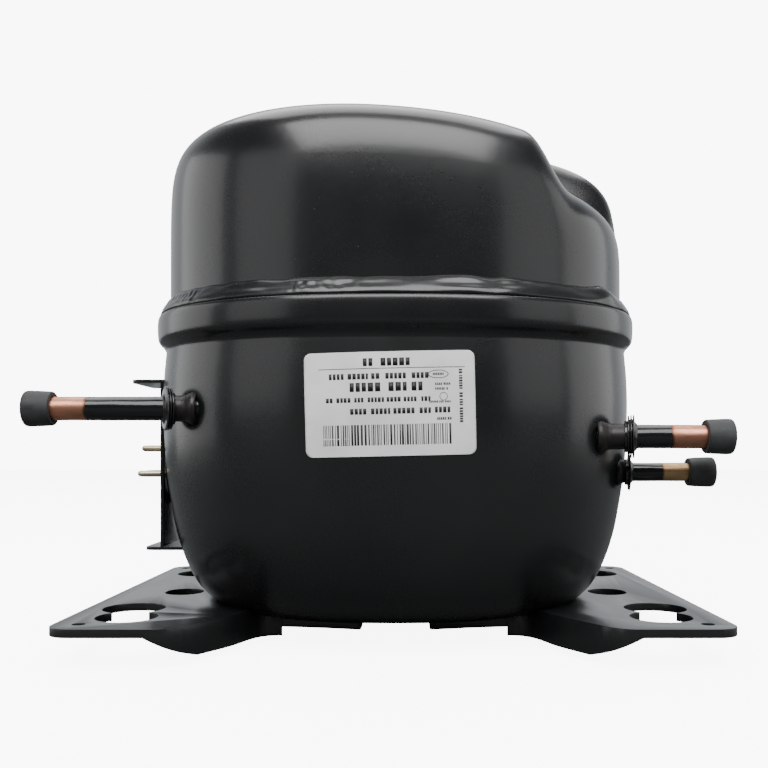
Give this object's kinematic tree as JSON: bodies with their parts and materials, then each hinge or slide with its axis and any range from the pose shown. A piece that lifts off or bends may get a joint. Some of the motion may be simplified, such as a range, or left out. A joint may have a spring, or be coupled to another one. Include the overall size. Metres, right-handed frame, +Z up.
{
  "type": "hermetic reciprocating compressor",
  "caption": "Welded oval steel shell on two stamped feet, holding a sprung motor and piston pump, with copper stub tubes, a pin terminal and a label.",
  "frame": {"origin": "centre of the four mounting holes, on the underside of the feet", "axes": "+Z up along the mounting holes and the crankshaft, -Y towards the label, -X towards the terminal"},
  "size_m": [0.222, 0.147, 0.1738],
  "materials": {
    "black_paint": "gloss black baked enamel",
    "weld": "gloss black enamel over a fillet weld",
    "copper": "dull copper, slightly scratched",
    "plug_rubber": "matte black",
    "label": "white film, printed black",
    "pin_steel": "plated pins",
    "glass_seal": "fused glass",
    "terminal_steel": "black enamel",
    "iron": "as cast, machined faces",
    "lamination": "stacked sheet edges",
    "copper_wire": "enamelled wire",
    "steel": "ground and oiled",
    "aluminium": "die cast",
    "gasket": "pressed fibre",
    "muffler_plastic": "natural engineering plastic",
    "connector_plastic": "natural"
  },
  "bodies": {
    "shell": {"upper_cap": "black_paint", "lower_shell": "black_paint", "weld_bead": "weld", "left_foot": "black_paint", "right_foot": "black_paint", "process_tube": "copper", "suction_tube": "copper", "discharge_tube": "copper", "process_collar": "black_paint", "suction_collar": "black_paint", "discharge_collar": "black_paint", "terminal_body": "terminal_steel", "terminal_glass": "glass_seal", "terminal_pins": "pin_steel", "terminal_bracket": "black_paint", "rating_label": "label", "spring_seats": "steel", "suspension_springs": "steel", "discharge_line": "steel", "terminal_connector": "connector_plastic"},
    "pump_unit": {"cylinder_block": "iron", "stator_core": "lamination", "stator_windings": "copper_wire", "stator_bolts": "steel", "spring_studs": "steel", "cylinder_gasket": "gasket", "valve_plate": "steel", "head_gasket": "gasket", "cylinder_head": "aluminium", "head_bolts": "steel", "suction_muffler": "muffler_plastic", "discharge_muffler": "steel"},
    "crank": {"crankshaft": "steel", "rotor_core": "lamination", "rotor_end_rings": "aluminium", "counterweight": "iron", "oil_pickup": "steel"},
    "slider": {"slider_block": "steel"},
    "oil_bush": {"yoke_oil_bush": "steel"},
    "piston": {"piston_yoke": "iron"},
    "suction_reed": {"suction_reed": "steel"},
    "discharge_reed": {"discharge_reed": "steel"},
    "process_plug": {"process_plug": "plug_rubber"},
    "suction_plug": {"suction_plug": "plug_rubber"},
    "discharge_plug": {"discharge_plug": "plug_rubber"}
  },
  "joints": [
    {"name": "unit_float", "type": "slide", "parent": "shell", "child": "pump_unit", "axis": [0, 0, 1], "range_m": [-0.0012, 0.0012], "stiffness_N_per_m": 9000, "springref_m": 0.00515, "deforming": ["suspension_springs", "discharge_line"]},
    {"name": "crank_spin", "type": "hinge", "parent": "pump_unit", "child": "crank", "pos_m": [0, 0, 0.1], "axis": [0, 0, 1], "continuous": true},
    {"name": "slider_turn", "type": "hinge", "parent": "crank", "child": "slider", "pos_m": [0.0072, 0, 0.127], "axis": [0, 0, 1], "continuous": true},
    {"name": "bush_turn", "type": "hinge", "parent": "crank", "child": "oil_bush", "pos_m": [0.0036, 0, 0.139], "axis": [0, 0, 1], "continuous": true},
    {"name": "yoke_turn", "type": "hinge", "parent": "oil_bush", "child": "piston", "pos_m": [0.0072, 0, 0.127], "axis": [0, 0, 1], "continuous": true},
    {"name": "suction_reed_lift", "type": "hinge", "parent": "pump_unit", "child": "suction_reed", "pos_m": [-0.0505, -0.005, 0.1342], "axis": [0, 1, 0], "range_deg": [-7, 0], "stiffness_Nm_per_rad": 0.002},
    {"name": "discharge_reed_lift", "type": "hinge", "parent": "pump_unit", "child": "discharge_reed", "pos_m": [-0.0535, 0.005, 0.1342], "axis": [0, 1, 0], "range_deg": [0, 6], "stiffness_Nm_per_rad": 0.002},
    {"name": "process_plug_pull", "type": "slide", "parent": "shell", "child": "process_plug", "axis": [-1, 0, 0], "range_m": [0, 0.02]},
    {"name": "suction_plug_pull", "type": "slide", "parent": "shell", "child": "suction_plug", "axis": [1, 0, 0], "range_m": [0, 0.02]},
    {"name": "discharge_plug_pull", "type": "slide", "parent": "shell", "child": "discharge_plug", "axis": [1, 0, 0], "range_m": [0, 0.02]}
  ],
  "couplings": [
    {"joint": "slider_turn", "follows": "crank_spin", "ratio": -1},
    {"joint": "bush_turn", "follows": "crank_spin", "ratio": -2},
    {"joint": "yoke_turn", "follows": "crank_spin", "ratio": 1}
  ]
}
